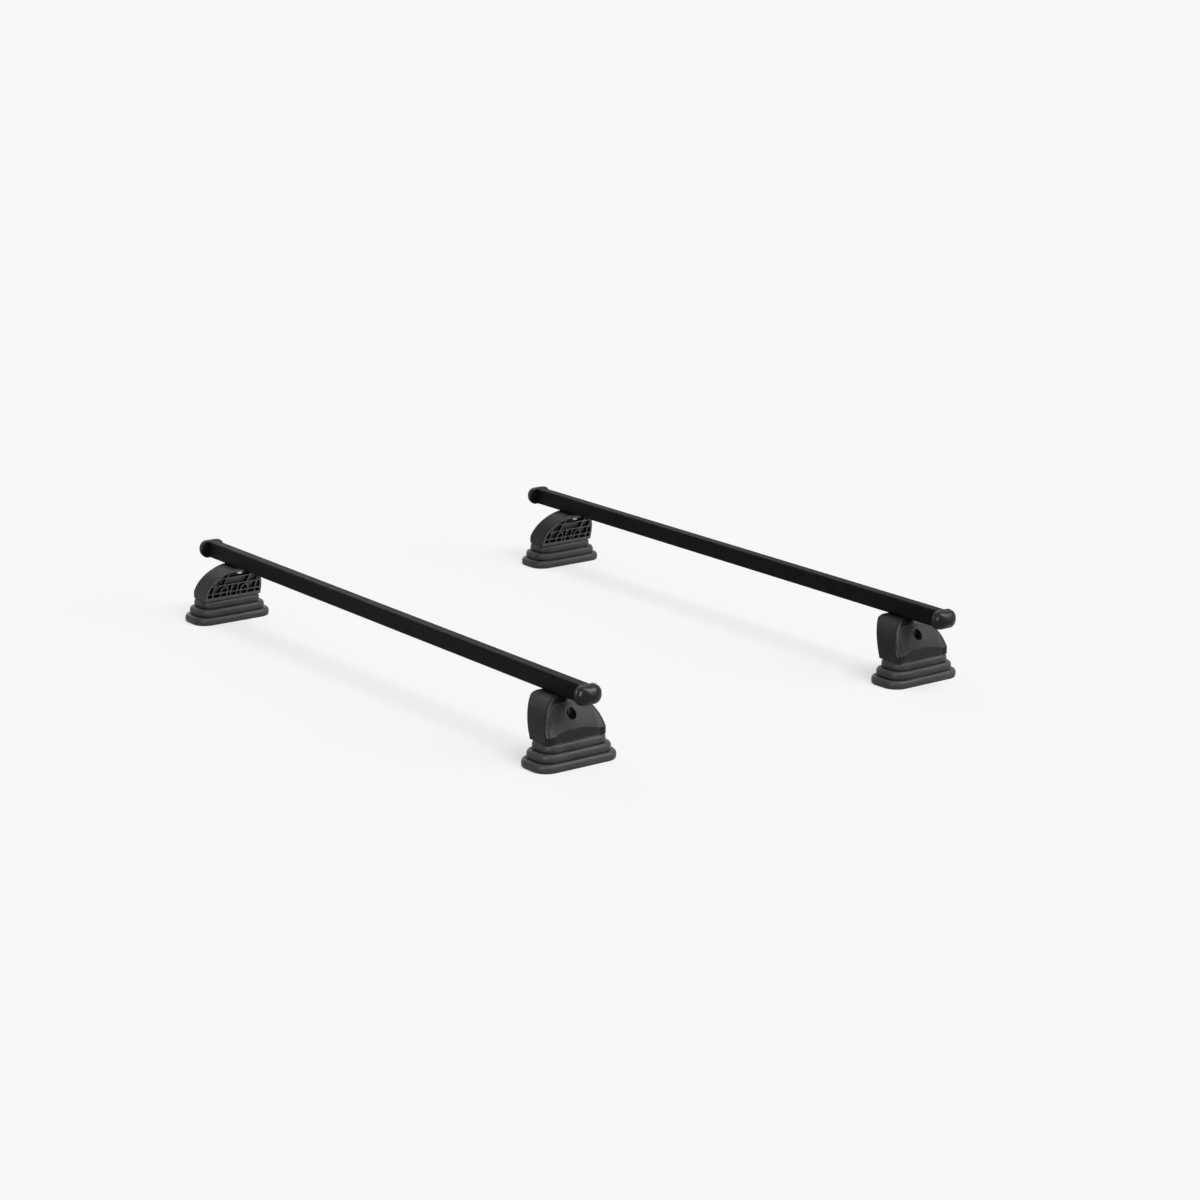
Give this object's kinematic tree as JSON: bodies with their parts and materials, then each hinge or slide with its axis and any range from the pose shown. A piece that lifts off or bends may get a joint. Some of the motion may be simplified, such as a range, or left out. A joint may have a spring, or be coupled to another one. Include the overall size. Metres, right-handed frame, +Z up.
{
  "type": "pair of roof crossbars",
  "caption": "Roof crossbars for a car: coated steel tubes with rounded end caps on leaning plastic towers with lockable covers, ribbed inner sides and stepped rubber pads.",
  "frame": {"origin": "midway between the front and rear bars and between the left and right feet, on the roof plane under the rubber pads", "axes": "+X towards the rear of the car, +Y along the bars towards its right side, +Z up"},
  "size_m": [0.901, 1.222, 0.1525],
  "materials": {
    "bar_coat": "fine textured black coat",
    "cap_plastic": "satin black",
    "tower_plastic": "fine grained black",
    "cover_plastic": "satin dark grey",
    "badge_gloss": "gloss black",
    "sleeve_plastic": "satin black",
    "lock_steel": "brushed",
    "zinc_steel": "bright zinc plated",
    "pad_rubber": "matt moulded rubber"
  },
  "bodies": {
    "crossbars": {"bar_front": "bar_coat", "bar_rear": "bar_coat", "end_cap_front_left": "cap_plastic", "tower_front_left": "tower_plastic", "cover_front_left": "cover_plastic", "badge_plate_front_left": "badge_gloss", "lock_sleeve_front_left": "sleeve_plastic", "rubber_pad_front_left": "pad_rubber", "foot_plate_front_left": "zinc_steel", "end_cap_rear_left": "cap_plastic", "tower_rear_left": "tower_plastic", "cover_rear_left": "cover_plastic", "badge_plate_rear_left": "badge_gloss", "lock_sleeve_rear_left": "sleeve_plastic", "rubber_pad_rear_left": "pad_rubber", "foot_plate_rear_left": "zinc_steel", "end_cap_front_right": "cap_plastic", "tower_front_right": "tower_plastic", "cover_front_right": "cover_plastic", "badge_plate_front_right": "badge_gloss", "lock_sleeve_front_right": "sleeve_plastic", "rubber_pad_front_right": "pad_rubber", "foot_plate_front_right": "zinc_steel", "end_cap_rear_right": "cap_plastic", "tower_rear_right": "tower_plastic", "cover_rear_right": "cover_plastic", "badge_plate_rear_right": "badge_gloss", "lock_sleeve_rear_right": "sleeve_plastic", "rubber_pad_rear_right": "pad_rubber", "foot_plate_rear_right": "zinc_steel", "roof_bolts": "zinc_steel", "roof_washers": "zinc_steel", "bar_bolts": "zinc_steel", "bar_washers": "zinc_steel", "nut_plates": "zinc_steel"},
    "lock_front_left": {"lock_barrel_front_left": "lock_steel", "lock_cam_front_left": "zinc_steel", "cam_screw_front_left": "zinc_steel"},
    "lock_rear_left": {"lock_barrel_rear_left": "lock_steel", "lock_cam_rear_left": "zinc_steel", "cam_screw_rear_left": "zinc_steel"},
    "lock_front_right": {"lock_barrel_front_right": "lock_steel", "lock_cam_front_right": "zinc_steel", "cam_screw_front_right": "zinc_steel"},
    "lock_rear_right": {"lock_barrel_rear_right": "lock_steel", "lock_cam_rear_right": "zinc_steel", "cam_screw_rear_right": "zinc_steel"}
  },
  "joints": [
    {"name": "lock_turn_front_left", "type": "hinge", "parent": "crossbars", "child": "lock_front_left", "pos_m": [-0.3725, -0.544, 0.081], "axis": [0, -1, 0], "range_deg": [0, 90]},
    {"name": "lock_turn_rear_left", "type": "hinge", "parent": "crossbars", "child": "lock_rear_left", "pos_m": [0.3725, -0.524, 0.081], "axis": [0, -1, 0], "range_deg": [0, 90]},
    {"name": "lock_turn_front_right", "type": "hinge", "parent": "crossbars", "child": "lock_front_right", "pos_m": [-0.3725, 0.544, 0.081], "axis": [0, 1, 0], "range_deg": [0, 90]},
    {"name": "lock_turn_rear_right", "type": "hinge", "parent": "crossbars", "child": "lock_rear_right", "pos_m": [0.3725, 0.524, 0.081], "axis": [0, 1, 0], "range_deg": [0, 90]}
  ]
}
